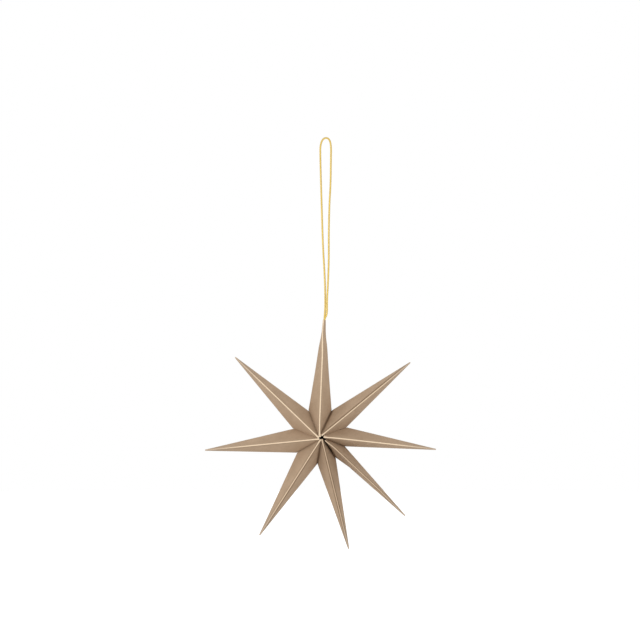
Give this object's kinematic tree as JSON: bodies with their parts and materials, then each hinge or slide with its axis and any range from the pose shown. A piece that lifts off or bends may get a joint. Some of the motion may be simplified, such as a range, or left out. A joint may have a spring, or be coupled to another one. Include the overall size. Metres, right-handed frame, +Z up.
{
  "type": "origami star",
  "caption": "Hollow folded-card star ornament with ridged points and a gold cord loop to hang it from.",
  "frame": {"origin": "hanging point: the underside of the cord at the top of its loop", "axes": "+X to the right seen from the front, -Y towards the viewer, +Z up along the hanging cord"},
  "size_m": [0.1491, 0.0397, 0.2659],
  "materials": {
    "card": "matte",
    "gold_cord": "satin"
  },
  "bodies": {
    "root": {"top_point_left_leaf": "card", "top_point_right_leaf": "card", "upper_right_point_left_leaf": "card", "upper_right_point_right_leaf": "card", "right_point_left_leaf": "card", "right_point_right_leaf": "card", "lower_right_point_left_leaf": "card", "lower_right_point_right_leaf": "card", "bottom_point_left_leaf": "card", "bottom_point_right_leaf": "card", "lower_left_point_left_leaf": "card", "lower_left_point_right_leaf": "card", "left_point_left_leaf": "card", "left_point_right_leaf": "card", "upper_left_point_left_leaf": "card", "upper_left_point_right_leaf": "card", "hanging_cord": "gold_cord", "cord_knot": "gold_cord"}
  },
  "joints": []
}
